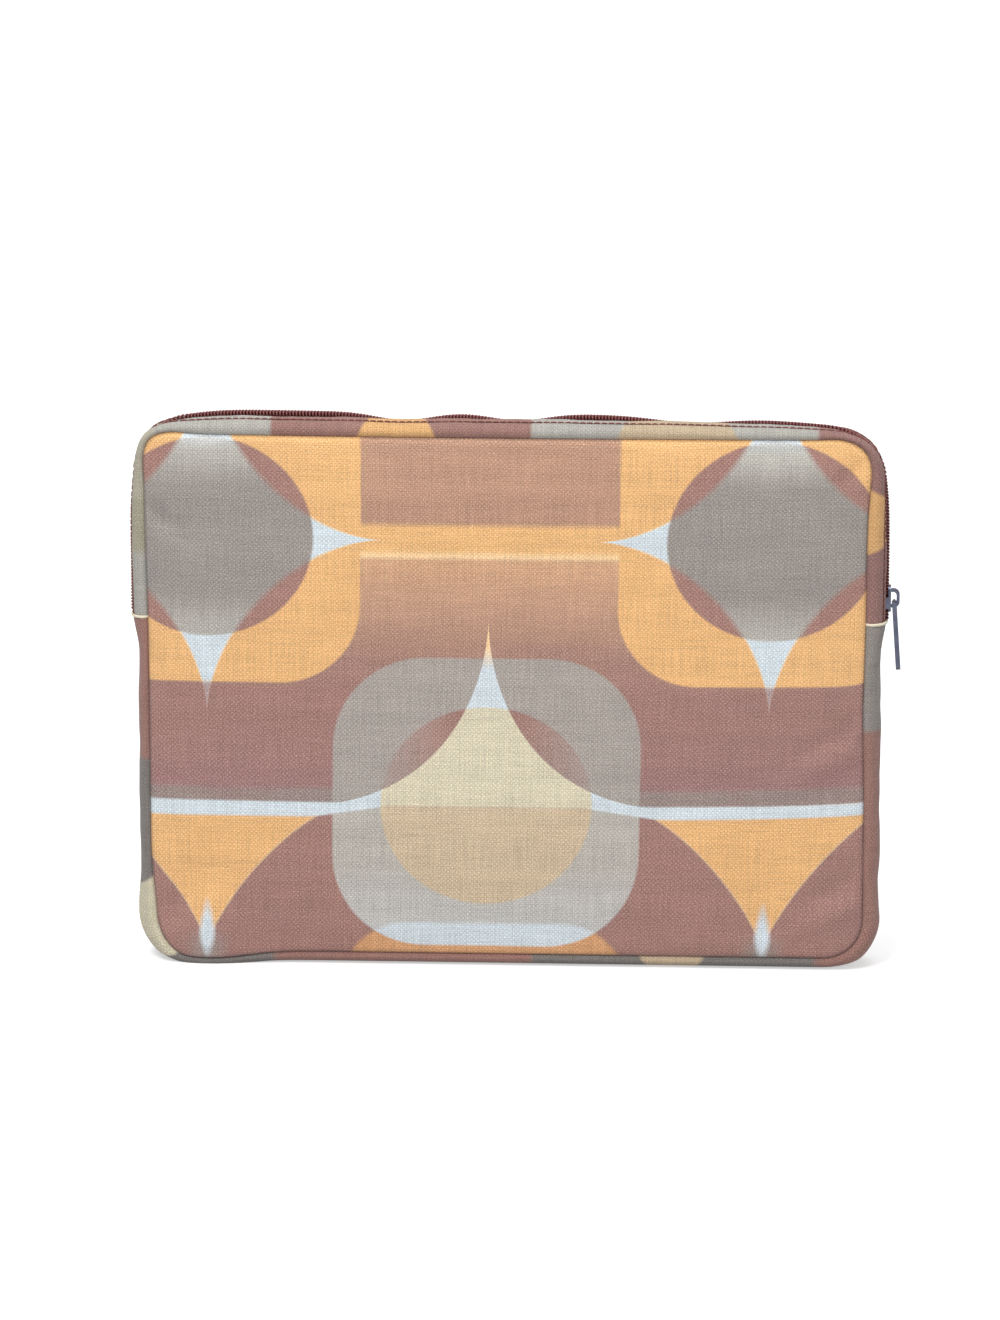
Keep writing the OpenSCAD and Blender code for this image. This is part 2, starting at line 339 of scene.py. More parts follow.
def rings(paths, side, radii, sides, flat=1.0):
    """Rings of points round paths (n, k, 3); side (n, k, 3) is a sideways direction, radii (k,) or (n, k)."""
    tangent = np.gradient(paths, axis=1)
    tangent /= np.maximum(np.linalg.norm(tangent, axis=2, keepdims=True), 1e-12)
    side = side - np.sum(side * tangent, axis=2, keepdims=True) * tangent
    side /= np.maximum(np.linalg.norm(side, axis=2, keepdims=True), 1e-12)
    other = np.cross(tangent, side)
    radii = np.broadcast_to(np.asarray(radii, float), paths.shape[:2])[..., None]
    out = []
    for angle in np.arange(sides) * 2 * math.pi / sides:
        out.append(paths + radii * (math.cos(angle) * side + flat * math.sin(angle) * other))
    return np.stack(out, axis=2)


# ---------- materials: a small node language


def linear(r, g, b):
    """An sRGB colour, 0 to 255, as the linear colour that shaders take."""
    channel = [c / 255 for c in (r, g, b)]
    return [c / 12.92 if c <= 0.04045 else ((c + 0.055) / 1.055) ** 2.4 for c in channel] + [1.0]


class Graph:
    """Builds one material's nodes; every method returns an output socket."""

    def __init__(self, name):
        self.material = bpy.data.materials.new(name)
        self.material.use_nodes = True
        self.tree = self.material.node_tree
        self.shader = self.tree.nodes["Principled BSDF"]

    def node(self, kind, inputs=None, output=0, **settings):
        node = self.tree.nodes.new(kind)
        for key, value in settings.items():
            setattr(node, key, value)
        for key, value in (inputs or {}).items():
            self.feed(node.inputs[key], value)
        return node.outputs[output]

    def feed(self, socket, value):
        if isinstance(value, bpy.types.NodeSocket):
            self.tree.links.new(value, socket)
        else:
            socket.default_value = value

    def math(self, operation, *values, clamp=False):
        inputs = dict(enumerate(values))
        return self.node("ShaderNodeMath", inputs, operation=operation, use_clamp=clamp)

    def add(self, *values):
        total = values[0]
        for value in values[1:]:
            total = self.math("ADD", total, value)
        return total

    def abs(self, value):
        return self.math("ABSOLUTE", value)

    def sub(self, a, b):
        return self.math("SUBTRACT", a, b)

    def mul(self, *values):
        total = values[0]
        for value in values[1:]:
            total = self.math("MULTIPLY", total, value)
        return total

    def div(self, a, b):
        return self.math("DIVIDE", a, b)

    def wrap(self, value, low, high):
        return self.math("WRAP", value, high, low)

    def mix(self, factor, a, b):
        inputs = {0: factor, 6: a, 7: b}
        return self.node("ShaderNodeMix", inputs, output=2, data_type="RGBA")

    def mix_value(self, factor, a, b):
        return self.math("MULTIPLY_ADD", factor, b - a, a)

    def tint(self, colour, factor):
        """The colour with its brightness times factor."""
        return self.node("ShaderNodeMix", {0: 1.0, 6: colour, 7: self.grey(factor)}, output=2,
                         data_type="RGBA", blend_type="MULTIPLY")

    def grey(self, value):
        return self.node("ShaderNodeCombineColor", {0: value, 1: value, 2: value})

    def fill(self, distance, soft):
        """1 inside a shape and 0 outside, with an edge as wide as soft."""
        return self.math("SUBTRACT", 0.5, self.div(distance, soft), clamp=True)

    def ramp(self, value, stops):
        node = self.tree.nodes.new("ShaderNodeValToRGB")
        ramp = node.color_ramp
        for i, (place, colour) in enumerate(stops):
            element = ramp.elements[i] if i < 2 else ramp.elements.new(place)
            element.position = place
            element.color = colour
        self.feed(node.inputs[0], value)
        return node.outputs[0]

    def noise(self, vector, scale, detail=2.0, roughness=0.5):
        inputs = {"Vector": vector, "Scale": scale, "Detail": detail, "Roughness": roughness}
        return self.node("ShaderNodeTexNoise", inputs)

    def vector(self, x, y, z=0.0):
        return self.node("ShaderNodeCombineXYZ", {0: x, 1: y, 2: z})

    def cloth_mm(self):
        """The cloth's own coordinates in mm: along and across."""
        uv = self.node("ShaderNodeUVMap", uv_map="cloth")
        split = self.tree.nodes.new("ShaderNodeSeparateXYZ")
        self.feed(split.inputs[0], uv)
        return self.mul(split.outputs[0], 1000.0), self.mul(split.outputs[1], 1000.0)

    def bump(self, height, distance, strength=1.0):
        return self.node("ShaderNodeBump", {"Height": height, "Distance": distance, "Strength": strength})

    def finish(self, **inputs):
        for key, value in inputs.items():
            self.feed(self.shader.inputs[key.replace("_", " ")], value)
        return self.material


ORANGE = linear(232, 180, 118)
ORANGE_PALE = linear(242, 206, 156)
BROWN = linear(160, 117, 107)
MAUVE = linear(157, 115, 109)
TAN = linear(185, 142, 116)
TAN_DARK = linear(180, 137, 112)
TAN_LIGHT = linear(208, 161, 124)
TAN_ROSE = linear(172, 131, 112)
TAN_WARM = linear(190, 147, 120)
AMBER = linear(214, 158, 108)
GREIGE = linear(148, 141, 135)
GREIGE_PALE = linear(183, 180, 172)
GREIGE_WARM = linear(148, 131, 125)
GREIGE_LIGHT = linear(198, 201, 201)
GREIGE_COOL = linear(166, 160, 153)
PURPLE = linear(153, 112, 110)
WHITE = linear(208, 219, 226)
CREAM = linear(216, 207, 180)
SAND = linear(203, 181, 150)
SLATE = linear(128, 122, 118)
OLIVE = linear(178, 172, 150)
CREAM_DULL = linear(188, 182, 162)
MAROON = linear(120, 66, 64)
BARE_YARN = linear(246, 240, 232)

# The print repeats every REPEAT_X across the cloth; its rows are placed by their height above the base.
REPEAT_X = 252.0
AXIS_X = -6.8
UPPER_Z, LOWER_Z, RING_Z, SPLIT_Z = 198.4, 78.0, 76.6, 75.6
EDGE = 1.1


def rounded_box(g, x, z, half_x, half_z, radius):
    """Distance in mm to a rounded rectangle; x and z are already positive distances from its middle."""
    qx = g.sub(x, half_x - radius)
    qz = g.sub(z, half_z - radius)
    outside = [g.math("POWER", g.math("MAXIMUM", q, 0.0), 2.0) for q in (qx, qz)]
    inside = g.math("MINIMUM", g.math("MAXIMUM", qx, qz), 0.0)
    return g.sub(g.add(g.math("SQRT", g.add(*outside)), inside), radius)


def hollow(g, x, z, half_x, half_z, power):
    """Distance in mm to a round (power 2) or, at lower powers, a four-pointed star with hollow sides."""
    total = g.add(g.math("POWER", g.div(x, half_x), power), g.math("POWER", g.div(z, half_z), power))
    return g.mul(g.sub(g.math("POWER", total, 1 / power), 1.0), min(half_x, half_z))


def print_bands(g, x, z):
    """The cloth's level bands, from the base up, with a purple stain over the brown ones."""
    top = 256.0
    bands = [(0, BROWN), (70, BROWN), (76, GREIGE_WARM), (82, GREIGE_WARM), (84.5, PURPLE), (98, MAUVE),
             (126, BROWN), (150, TAN_ROSE), (166, TAN_WARM), (189, TAN_LIGHT), (191, ORANGE_PALE),
             (194, ORANGE), (204, ORANGE), (207, TAN_DARK), (226, TAN), (top, TAN)]
    colour = g.ramp(g.div(z, top), [(place / top, tone) for place, tone in bands])
    blotch = g.noise(g.vector(g.mul(x, 0.022), g.mul(z, 0.06), 4.0), 1.0, 2.0)
    stained = g.math("MULTIPLY_ADD", blotch, 1.5, -0.6, clamp=True)
    return g.mix(g.mul(stained, g.fill(g.sub(z, 150.0), 20.0)), colour, PURPLE)


def low_gaps(g, colour, side_x, from_split, below):
    """The orange between the brown rounds, under the split line."""
    gap = hollow(g, g.add(side_x, 2.4), g.abs(from_split), 63, 70, 0.74)
    colour = g.mix(g.mul(g.fill(g.sub(gap, 0.9), 2.2), below, 0.8), colour, ORANGE_PALE)
    return g.mix(g.mul(g.fill(gap, 1.6), below), colour, ORANGE)


def upper_row(g, colour, side_x, z):
    """A circle in a rounded square, and over them a star, greige on the circle and white at its tips."""
    up = g.sub(z, UPPER_Z)
    up_z = g.abs(up)
    tall = g.math("MAXIMUM", g.mul(up, 0.82), g.mul(up, -1.0))
    square = g.fill(rounded_box(g, side_x, tall, 68.5, 67.4, 36), EDGE)
    colour = g.mix(square, colour, ORANGE)
    disc = g.fill(hollow(g, side_x, up_z, 47.4, 45.8, 2.0), EDGE)
    colour = g.mix(disc, colour, BROWN)
    points = hollow(g, side_x, up_z, 78, 82, 0.62)
    tip_tone = g.mix(g.fill(g.add(points, 1.2), 4.0), ORANGE_PALE, WHITE)
    height = g.math("MULTIPLY_ADD", up, 1 / 94, 0.5, clamp=True)
    veil = g.ramp(height, [(0.0, GREIGE_PALE), (0.22, GREIGE), (0.76, GREIGE), (0.92, GREIGE_PALE),
                           (1.0, GREIGE_LIGHT)])
    low_fade = g.mix_value(g.fill(g.sub(131.0, z), 2.5), 0.25, 1.0)
    star = g.mul(g.fill(points, g.mix_value(disc, 2.0, 6.0)), low_fade)
    return g.mix(star, colour, g.mix(disc, tip_tone, veil))


def lower_row(g, colour, x, xm, z, from_split, below):
    """A ring in a pale rounded square, and a white star on the split line; also returns the square."""
    low_z = g.abs(g.sub(z, LOWER_Z))
    square = g.fill(rounded_box(g, xm, low_z, 69.2, 65.5, 42), EDGE)
    low_tone = g.mix(g.fill(g.sub(z, 30.0), 40.0), GREIGE_PALE, GREIGE_LIGHT)
    colour = g.mix(g.mul(square, 0.92), colour, g.mix(below, GREIGE_COOL, low_tone))
    ring = g.fill(hollow(g, xm, g.abs(g.sub(z, RING_Z)), 47.6, 44.2, 2.0), EDGE)
    haze = g.math("SUBTRACT", 1.25, g.mul(xm, 1 / 48), clamp=True)
    colour = g.mix(g.mul(ring, g.sub(1.0, below), haze), colour, BROWN)
    wing = g.math("SMOOTH_MIN", g.math("MAXIMUM", g.sub(xm, 44.0), 0.0), 34.0, 6.0)
    above_edge = g.sub(1.0, g.fill(g.add(from_split, g.mul(wing, 0.15)), EDGE))
    star = g.fill(hollow(g, xm, g.abs(from_split), 80, 87, 0.55), 1.6)
    thick = g.math("MULTIPLY_ADD", x, -0.0045, 3.6)
    stripe = g.fill(g.sub(g.abs(g.add(from_split, 2.6)), thick), EDGE)
    white = g.mul(g.math("MAXIMUM", star, stripe), above_edge)
    tip_tone = g.mix(g.fill(g.sub(from_split, 68.0), 10.0), ORANGE_PALE, WHITE)
    colour = g.mix(white, colour, g.mix(ring, tip_tone, CREAM))
    return g.mix(g.mul(ring, g.sub(1.0, above_edge)), colour, SAND), square


def foot_row(g, colour, side_x, xm, z, square):
    """The top of the next rounded square below, and the white spears between."""
    foot = g.fill(rounded_box(g, xm, g.abs(g.add(z, 38.0)), 65, 61, 30), EDGE * 2)
    colour = g.mix(foot, colour, g.mix(square, AMBER, WHITE))
    rise = g.sub(z, 17.5)
    spear_z = g.math("MAXIMUM", g.mul(rise, 1 / 15), g.mul(rise, -1 / 11))
    spear = hollow(g, side_x, g.mul(spear_z, 15.0), 3.9, 15.0, 1.45)
    halo = g.math("MULTIPLY", g.sub(20.0, z), 1 / 9, clamp=True)
    colour = g.mix(g.mul(g.fill(g.sub(spear, 3.5), 9.0), halo, 0.85), colour, GREIGE)
    return g.mix(g.fill(g.add(spear, 0.6), 2.4), colour, WHITE)


def printed_colour(g, x, z):
    """The print at x, z in mm; xm and side_x are the distances from a repeat's middle and side."""
    xm = g.abs(g.wrap(g.sub(x, AXIS_X), -REPEAT_X / 2, REPEAT_X / 2))
    side_x = g.sub(REPEAT_X / 2, xm)
    from_split = g.sub(z, SPLIT_Z)
    below = g.fill(from_split, EDGE)
    colour = low_gaps(g, print_bands(g, x, z), side_x, from_split, below)
    colour = upper_row(g, colour, side_x, z)
    colour, square = lower_row(g, colour, x, xm, z, from_split, below)
    colour = foot_row(g, colour, side_x, xm, z, square)
    streak = g.noise(g.vector(g.mul(x, 0.004), g.mul(z, 0.16), 9.0), 1.0, 3.0)
    return g.tint(colour, g.add(0.89, g.mul(streak, 0.24)))


def weave(g, colour, u, v, pitch=1.0, fuzz=0.47):
    """Adds a plain weave to a cloth colour: returns the new colour and the thread height."""
    tu, tv = g.div(u, pitch), g.div(v, pitch)
    wave_u, wave_v = (g.math("SINE", g.mul(t, math.pi)) for t in (tu, tv))
    a, b = g.abs(wave_u), g.abs(wave_v)
    parity = g.math("GREATER_THAN", g.mul(wave_u, wave_v), 0.0)
    warp = g.mul(a, g.add(0.55, g.mul(b, 0.45)))
    weft = g.mul(b, g.add(0.55, g.mul(a, 0.45)))
    height = g.add(g.mul(parity, warp), g.mul(g.sub(1.0, parity), weft))
    warp_tone = g.sub(g.noise(g.vector(tu, g.mul(v, 0.035)), 1.3, 1.0), 0.5)
    weft_tone = g.sub(g.noise(g.vector(g.mul(u, 0.05), tv, 7.0), 1.3, 1.0), 0.5)
    cloud = g.sub(g.noise(g.vector(g.mul(u, 0.04), g.mul(v, 0.07), 3.0), 1.0, 3.0), 0.5)
    speck = g.sub(g.noise(g.vector(tu, tv, 5.0), 1.6, 2.0, 0.8), 0.5)
    # Painted shade and sheen: thread height darkens the hollows between threads and the weft-over cells
    # (parity) are lighter, here and in bare; warp_tone, weft_tone, cloud and speck are the yarn's own tone.
    thread_shade_and_tone = g.add(g.mul(height, 0.55), g.mul(parity, 0.3), g.mul(warp_tone, 0.7), g.mul(weft_tone, 0.6))
    tone = g.add(0.97 - fuzz * 0.55, g.mul(g.add(thread_shade_and_tone, g.mul(cloud, 0.3), g.mul(speck, 2.6)), fuzz))
    bare = g.math("MULTIPLY_ADD", speck, 1.5 * fuzz, g.mul(parity, 0.12 * fuzz), clamp=True)
    colour = g.mix(bare, colour, BARE_YARN)
    relief = g.add(height, g.mul(weft_tone, 0.8), g.mul(warp_tone, 0.5), g.mul(speck, 0.8))
    return g.tint(colour, tone), relief


# Painted shade along the seams: how far in from a seam it fades, in mm, and how dark it is at the seam.
SEAM_SHADE_WIDTH, PAINTED_SEAM_SHADE = 1.3, 0.6


def canvas_material(name, colour_of):
    """Printed canvas, darkened towards the seams by painted shade; colour_of(g, u, v) gives the print in mm.
    """
    g = Graph(name)
    u, v = g.cloth_mm()
    colour, height = weave(g, colour_of(g, u, v), u, v)
    gap = g.mul(g.node("ShaderNodeAttribute", output=2, attribute_name="edge_gap"), 1000.0)
    # Painted shade: the canvas darkens over the last 1.3 mm before a seam, standing in for the shadow in the
    # seam groove.
    unshaded = g.math("MULTIPLY", gap, 1 / SEAM_SHADE_WIDTH, clamp=True)
    colour = g.tint(colour, g.mix_value(unshaded, PAINTED_SEAM_SHADE, 1.0))
    normal = g.bump(height, 0.22 * MM, 0.8)
    rough = g.add(0.86, g.mul(height, 0.08))
    return g.finish(Base_Color=colour, Roughness=rough, Normal=normal, Sheen_Weight=0.18,
                    Sheen_Roughness=0.5, Specular_IOR_Level=0.25)


def strip_colour(patches, wedges, gain):
    """A print for a long strip, brightened by gain. Patches are (end in mm, colour) from its start.

    Wedges lie over them: (start, end, colour), narrowing as v grows.
    """
    length = patches[-1][0]

    def colour_of(g, u, v):
        stops, start = [], 0.0
        for end, tone in patches:
            stops += [((start + 0.6) / length, tone), ((end - 0.6) / length, tone)]
            start = end
        colour = g.ramp(g.div(u, length), stops)
        for start, end, tone in wedges:
            off_middle = g.abs(g.sub(u, (start + end) / 2))
            inside = g.fill(g.sub(g.add(off_middle, g.mul(v, 0.4)), (end - start) / 2 + 1), 1.6)
            colour = g.mix(inside, colour, tone)
        return g.tint(colour, gain)

    return colour_of


def plain_cloth(name, tone, pitch=0.3, fuzz=0.08, rough=0.8, sheen=0.2, bump=0.08):
    """Single-colour woven cloth, such as lining, tape or binding."""
    g = Graph(name)
    u, v = g.cloth_mm()
    colour, height = weave(g, tone, u, v, pitch, fuzz)
    return g.finish(Base_Color=colour, Roughness=g.add(rough, g.mul(height, 0.05)),
                    Normal=g.bump(height, bump * MM, 0.6), Sheen_Weight=sheen, Sheen_Roughness=0.4)


def plastic_coil():
    g = Graph("coil_nylon")
    spot = g.node("ShaderNodeTexCoord", output=3)
    cloud = g.noise(spot, 900.0, 2.0)
    colour = g.tint(MAROON, g.add(0.8, g.mul(cloud, 0.5)))
    return g.finish(Base_Color=colour, Roughness=g.add(0.34, g.mul(cloud, 0.15)), Specular_IOR_Level=0.5,
                    Normal=g.bump(cloud, 0.02 * MM, 0.4))


def thread_material(name, tone):
    """Twisted sewing thread: fine slanted plies along each stitch."""
    g = Graph(name)
    u, v = g.cloth_mm()
    ply = g.math("SINE", g.mul(g.add(g.mul(u, 2.2), v), 2 * math.pi))
    fuzz = g.noise(g.vector(u, v), 2.0, 2.0)
    colour = g.tint(tone, g.add(0.72, g.mul(ply, 0.16), g.mul(fuzz, 0.4)))
    return g.finish(Base_Color=colour, Roughness=0.6, Sheen_Weight=0.3, Normal=g.bump(ply, 0.03 * MM, 0.6))


def zip_metal():
    """Plated die-cast metal with fine handling scratches and slightly dull patches."""
    g = Graph("zip_metal")
    spot = g.node("ShaderNodeTexCoord", output=3)
    fine = g.noise(spot, 1800.0, 3.0)
    broad = g.noise(spot, 220.0, 2.0)
    stretched = g.node("ShaderNodeMapping", {"Vector": spot, "Scale": (3000.0, 3000.0, 200.0)})
    scratch = g.noise(stretched, 1.0, 2.0)
    colour = g.mix(broad, linear(126, 130, 148), linear(92, 96, 114))
    rough = g.add(0.18, g.mul(broad, 0.12), g.mul(scratch, 0.10))
    return g.finish(Base_Color=colour, Metallic=1.0, Roughness=rough,
                    Normal=g.bump(g.add(scratch, g.mul(fine, 0.5)), 0.008 * MM, 0.3))


def foam_material():
    g = Graph("foam")
    spot = g.node("ShaderNodeTexCoord", output=3)
    cells = g.node("ShaderNodeTexVoronoi", {"Vector": spot, "Scale": 1200.0})
    colour = g.mix(cells, linear(226, 222, 212), linear(240, 237, 228))
    return g.finish(Base_Color=colour, Roughness=0.9, Normal=g.bump(cells, 0.1 * MM, 0.5))


# ---------- the panels

PANEL_STEP, FIRST_RING, RING_GROWTH = 2.4 * MM, 0.35 * MM, 1.25
CORNER_FADE = 70 * MM


def ring_distances():
    """Distances in from the seam at which the panel grid has its rings: close at the lip, wider inside."""
    places, gap = [0.0], FIRST_RING
    while places[-1] + gap < HALF_H - 1.5 * MM:
        places.append(places[-1] + gap)
        gap = min(gap * RING_GROWTH, PANEL_STEP)
    return np.array(places)


def panel_plan():
    """The panel grid, rows from bottom to top: x, z and the distance in from the seam."""
    d = ring_distances()
    middle = np.arange(HALF_H, 2 * HALF_W - HALF_H + PANEL_STEP / 2, PANEL_STEP)
    middle = np.linspace(HALF_H, 2 * HALF_W - HALF_H, len(middle))
    from_left = np.concatenate([d, middle, 2 * HALF_W - d[::-1]])
    from_base = np.concatenate([d, [HALF_H], 2 * HALF_H - d[::-1]])
    side_x = np.minimum(from_left, 2 * HALF_W - from_left)[None, :]
    side_z = np.minimum(from_base, 2 * HALF_H - from_base)[:, None]
    ring = np.minimum(side_x, side_z)
    along = np.maximum(side_x, side_z) - ring
    radius = CORNER * np.clip(1 - ring / CORNER_FADE, 1e-6, 1)
    run = along * (math.pi / 4 + 1) / 2
    turn = np.clip(math.pi / 4 - run / radius, 0, None)
    round_p = radius - radius * np.sin(turn)
    round_q = radius - radius * np.cos(turn)
    in_corner = along < 2 * radius
    straight_p = np.where(in_corner, radius + run - radius * math.pi / 4, along)
    p = ring + np.where(turn > 0, round_p, straight_p)
    q = ring + np.where(turn > 0, round_q, 0.0)
    wide = side_x >= side_z
    dist_x, dist_z = np.where(wide, p, q), np.where(wide, q, p)
    x = np.sign(from_left - HALF_W)[None, :] * (HALF_W - dist_x)
    z = MID_Z + np.sign(from_base - HALF_H)[:, None] * (HALF_H - dist_z)
    return x, z, ring


# Short dents where the seam pulls: (x, z, direction in degrees, length, width, height), in mm.
PUCKERS = [(-153, 207, -38, 17, 4, -2.2), (-150, 196, -20, 24, 8, 0.9), (156, 234, 45, 14, 3.5, -2.4),
           (152, 110, 27, 24, 5, -1.9), (144, 98, 27, 28, 7, 1.6), (149, 41, 35, 24, 6, -1.6),
           (146, 27, 28, 26, 7, 1.3), (138, 18, 20, 24, 5, -1.0), (-150, 30, 50, 18, 6, -1.4),
           (-120, 240, 85, 12, 6, -0.9)]


def puckers(x, z):
    """The height of all the puckers together."""
    total = 0 * x
    for at_x, at_z, angle, length, width, height in PUCKERS:
        turn = math.radians(angle)
        dx, dz = x / MM - at_x, z / MM - at_z
        along = dx * math.cos(turn) + dz * math.sin(turn)
        across = -dx * math.sin(turn) + dz * math.cos(turn)
        total = total + height * MM * np.exp(-((along / length) ** 2) - (across / width) ** 2)
    return total


def soften(grid, sigma):
    """A grid of heights blurred by sigma cells."""
    reach = int(3 * sigma) + 1
    kernel = bump_at(np.arange(-reach, reach + 1), 0, sigma * math.sqrt(2))
    kernel /= kernel.sum()
    for axis in (0, 1):
        widths = [(reach, reach) if i == axis else (0, 0) for i in (0, 1)]
        padded = np.pad(grid, widths, mode="reflect")
        grid = np.apply_along_axis(lambda line: np.convolve(line, kernel, "valid"), axis, padded)
    return grid


def read_grid(grid, x, z):
    """Heights of an even grid over the panel, read between its cells at x, z."""
    rows, cols = grid.shape
    i = np.clip((z - MID_Z) / HALF_H / 2 + 0.5, 0, 1) * (rows - 1)
    j = np.clip(x / HALF_W / 2 + 0.5, 0, 1) * (cols - 1)
    i0, j0 = np.minimum(i.astype(int), rows - 2), np.minimum(j.astype(int), cols - 2)
    di, dj = i - i0, j - j0
    low = grid[i0, j0] * (1 - dj) + grid[i0, j0 + 1] * dj
    high = grid[i0 + 1, j0] * (1 - dj) + grid[i0 + 1, j0 + 1] * dj
    return low * (1 - di) + high * di


SIM_ROWS, SIM_COLS, SIM_FRAMES = 73, 97, 40
GATHER, UNEVEN = 0.006, 2.5 * MM
FOLD_SCALE, FOLD_EDGE = 1.3, 1.8


def wandering(random, count, smoothing):
    """A random line between -1 and 1."""
    line = random.normal(0, 1, count)
    kernel = bump_at(np.linspace(-2, 2, smoothing), 0, 1)
    line = np.convolve(np.concatenate([line[-smoothing:], line, line[:smoothing]]), kernel, "same")
    line = line[smoothing:-smoothing]
    return line / np.abs(line).max()


def loose_cloth(seed):
    """Folds of a cloth panel sewn into a seam a little shorter than itself, by cloth simulation.

    The seam holds the edge, drawn in by the share GATHER and unevenly by UNEVEN. Returns heights.
    """
    random = np.random.default_rng(seed)
    x, z = np.meshgrid(np.linspace(-HALF_W, HALF_W, SIM_COLS), np.linspace(-HALF_H, HALF_H, SIM_ROWS))
    y = soften(random.normal(0, 1, x.shape), 3) + 2 * soften(random.normal(0, 1, x.shape), 6)
    y *= 0.5 * MM / np.abs(y).max()
    drawn = np.stack([x, y, z], axis=-1) * (1 - GATHER, 1, 1 - GATHER)
    for edge, count in (((0, slice(None)), SIM_COLS), ((-1, slice(None)), SIM_COLS),
                        ((slice(None), 0), SIM_ROWS), ((slice(None), -1), SIM_ROWS)):
        along, across = (0, 2) if count == SIM_COLS else (2, 0)
        drawn[(*edge, along)] += UNEVEN * wandering(random, count, 5)
        drawn[(*edge, across)] += UNEVEN / 2 * wandering(random, count, 7)
    obj = new_object("loose_cloth", np.stack([x, y, z], axis=-1).reshape(-1, 3),
                     grid_faces(SIM_ROWS, SIM_COLS, 0, False))
    on_edge = np.ones(x.shape, bool)
    on_edge[1:-1, 1:-1] = False
    seam = obj.vertex_groups.new(name="seam")
    seam.add([int(i) for i in np.flatnonzero(on_edge)], 1.0, "ADD")
    obj.shape_key_add(name="flat")
    key = obj.shape_key_add(name="drawn")
    key.data.foreach_set("co", drawn.astype(np.float32).ravel())
    key.value = 1.0
    cloth = obj.modifiers.new("cloth", "CLOTH")
    cloth.settings.quality = 6
    cloth.settings.mass = 0.1
    for name in ("tension", "compression", "bending"):
        setattr(cloth.settings, name + "_stiffness", 80)
    cloth.settings.shear_stiffness = 32
    cloth.settings.air_damping = 2
    cloth.settings.vertex_group_mass = "seam"
    cloth.settings.rest_shape_key = obj.data.shape_keys.key_blocks["flat"]
    cloth.settings.effector_weights.gravity = 0.0
    cloth.collision_settings.use_collision = False
    cloth.point_cache.frame_start, cloth.point_cache.frame_end = 1, SIM_FRAMES + 1
    for number in range(1, SIM_FRAMES + 2):
        bpy.context.scene.frame_set(number)
    settled = obj.evaluated_get(bpy.context.evaluated_depsgraph_get()).to_mesh()
    spots = np.empty(len(settled.vertices) * 3, np.float32)
    settled.vertices.foreach_get("co", spots)
    bpy.context.scene.frame_set(1)
    bpy.data.objects.remove(obj)
    height = soften(spots.reshape(SIM_ROWS, SIM_COLS, 3)[..., 1], 1.2)
    return height - soften(height, 7)


def panel_out(x, z, ring, folds):
    """How far a panel's outside face stands from the middle plane."""
    lip = LIP * (1 - np.exp(-ring / LIP_REACH))
    crown = CROWN * (1 - np.exp(-(HALF_W - np.abs(x)) / CROWN_REACH))
    crown = crown * (1 - np.exp(-(HALF_H - np.abs(z - MID_Z)) / CROWN_REACH))
    loose = smooth(ring, 0, 7 * MM)
    creases = puckers(x, z)
    if folds is not None:
        creases = creases + read_grid(folds, x, z) * (FOLD_SCALE + FOLD_EDGE * bump_at(ring, 0, 30 * MM))
    return SEAM_Y + lip + crown + creases * loose


def hang_of_print(x, z):
    """How far the print leans sideways towards the base, and how far its lower row bows."""
    across = x / HALF_W
    lean = (3.3 + 1.9 * across) * MM * np.clip(1 - z / (215 * MM), 0, 1)
    bow = (1.5 + 1.7 * across) * MM * across ** 2 * bump_at(z, 82 * MM, 45 * MM)
    return lean, bow


def panel_layer(name, side, depth, thickness, inset, folds):
    """One layer of a panel: side is -1 in front and 1 behind, depth how far in from the outer face."""
    x, z, ring = panel_plan()
    x = x * (1 - inset / HALF_W)
    z = MID_Z + (z - MID_Z) * (1 - inset / HALF_H)
    out = panel_out(x, z, ring, folds) - depth
    plan = np.stack([x, side * out, z], axis=-1)
    grid = settle(plan)
    sewn = pull_seams(plan)
    x, z = sewn[..., 0], sewn[..., 2]
    lean, bow = hang_of_print(x, z)
    cloth = np.stack([-side * (x + lean), z - bow], axis=-1)
    return sheet(name, grid, cloth, thickness, np.array([0.0, -side, 0.0]), ring)


# ---------- the gusset

CANVAS_T, LINING_T, TAPE_T = 0.45 * MM, 0.35 * MM, 0.5 * MM
# Sections across the gusset: (out from the seam line, away from the middle plane), in mm.
HEM = [(-2.0, 9.8), (-0.7, 10.7), (0.5, 12.2), (2.6, 12.8), (4.6, 12.1), (6.2, 10.4), (7.3, 8.3), (8.0, 6.2),
       (8.1, 5.3), (7.7, 4.9), (7.2, 5.5), (6.6, 7.4), (5.8, 9.4)]
STITCH_R, STITCH_Y = 7.3, 8.6
STITCH_PITCH, STITCH_LENGTH, STITCH_RADIUS = 3.2 * MM, 3.0, 0.36
BASE = [(-2.0, 9.8), (-0.7, 10.7), (0.5, 12.2), (2.7, 12.7), (5.4, 11.3), (7.2, 8.5), (8.0, 5.0), (8.1, 0.0)]


def stretch(start, end, step):
    """Even places from start to end, about one step apart."""
    return np.linspace(start, end, int(round((end - start) / step)) + 1)


def gusset_sheet(name, grid, s, along, across, thickness):
    """A sheet on the gusset, thick towards the inside; along and across are its cloth coordinates."""
    out_x, out_z = on_outline(s)[2:]
    inward = np.stack([-out_x, 0 * s, -out_z], axis=-1)
    cloth = np.stack(np.broadcast_arrays(along, across[None, :]), axis=-1)
    return sheet(name, grid, cloth, thickness, inward)


